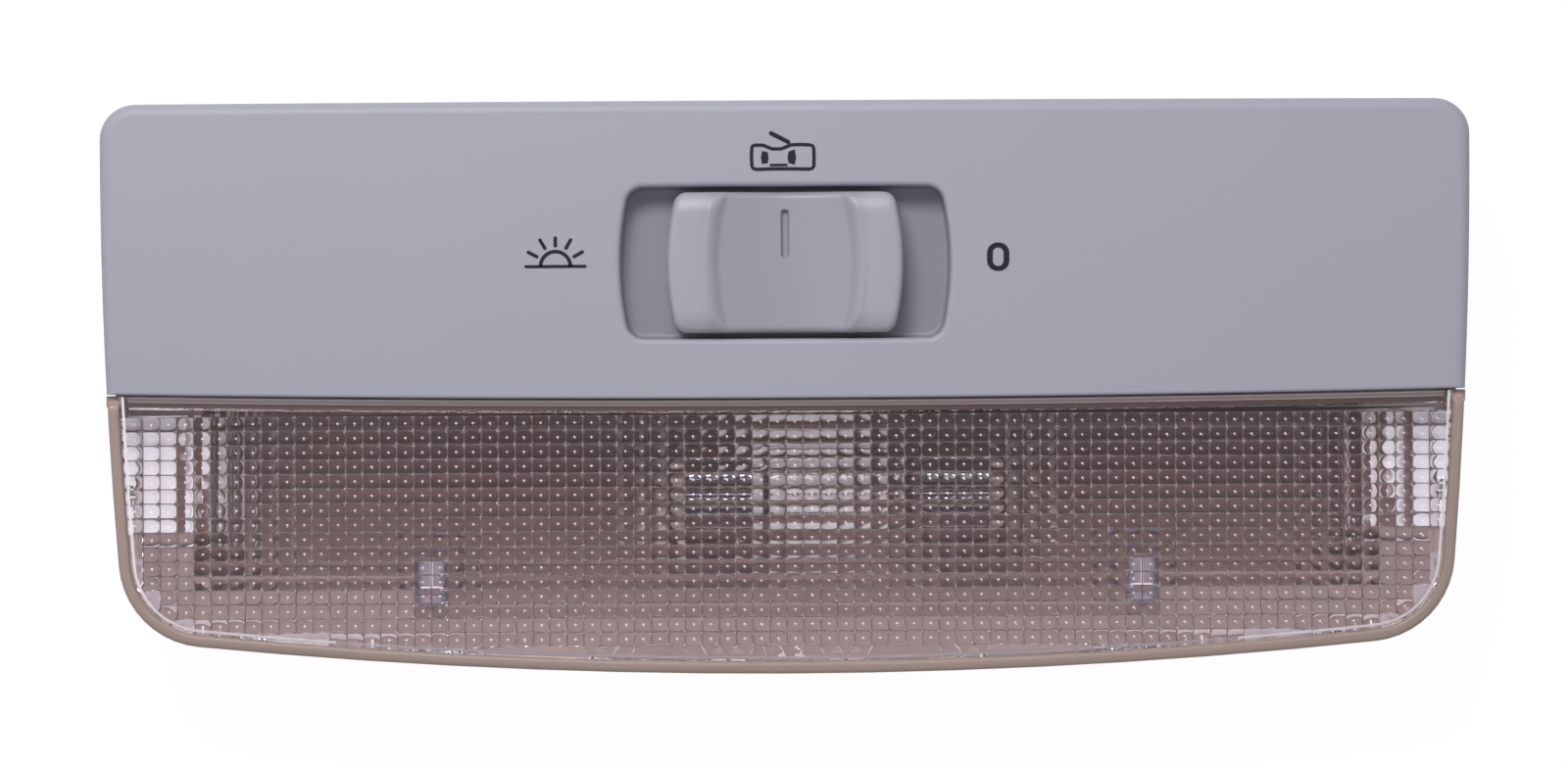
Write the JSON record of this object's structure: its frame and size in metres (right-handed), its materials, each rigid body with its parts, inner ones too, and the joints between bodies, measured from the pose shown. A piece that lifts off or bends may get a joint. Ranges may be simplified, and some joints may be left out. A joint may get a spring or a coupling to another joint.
{
  "type": "car dome light",
  "caption": "Interior roof lamp with a grey switch panel over a clear pillow-pattern lens, festoon bulb behind it, and a housing with spring clips that drops into the headliner.",
  "frame": {"origin": "middle of the lamp's outline, on the rear face of the flange, where the headliner's surface is", "axes": "+X along the lamp, to the right as one looks at the lit face with the switch above the lens; +Y from the lens towards the switch; +Z out of the lit face"},
  "size_m": [0.1552, 0.0647, 0.0236],
  "materials": {
    "housing_plastic": "moulded, warm taupe, fine grain",
    "panel_plastic": "fine satin grain, cool grey",
    "knob_plastic": "fine satin grain, cool grey",
    "lens_plastic": "clear, polished outside, pillow pattern inside",
    "reflector_sheet": "bright sheet, dulled by heat under the bulb",
    "bulb_glass": "clear",
    "cap_metal": "plated, slightly dull",
    "filament_wire": "dark wire",
    "contact_brass": "stamped brass sheet, tin plated, dull",
    "spring_steel": "rolled sheet",
    "screw_steel": "zinc plated",
    "inner_plastic": "natural white, smooth"
  },
  "bodies": {
    "housing": {"back_housing": "housing_plastic", "front_panel": "panel_plastic", "lens": "lens_plastic", "reflector": "reflector_sheet", "bulb_glass": "bulb_glass", "bulb_cap_left": "cap_metal", "bulb_cap_right": "cap_metal", "bulb_filament": "filament_wire", "supply_strip": "contact_brass", "common_strip": "contact_brass", "ground_strip": "contact_brass", "door_strip": "contact_brass", "detent_spring": "spring_steel", "switch_cover": "inner_plastic", "cover_screws": "screw_steel", "retaining_clip_left": "spring_steel", "retaining_clip_right": "spring_steel"},
    "switch": {"switch_knob": "knob_plastic", "switch_slider": "inner_plastic", "wiper_contact": "contact_brass"}
  },
  "joints": [
    {"name": "switch_slide", "type": "slide", "parent": "housing", "child": "switch", "axis": [1, 0, 0], "range_m": [-0.0046, 0.0046], "deforming": ["detent_spring"]}
  ]
}
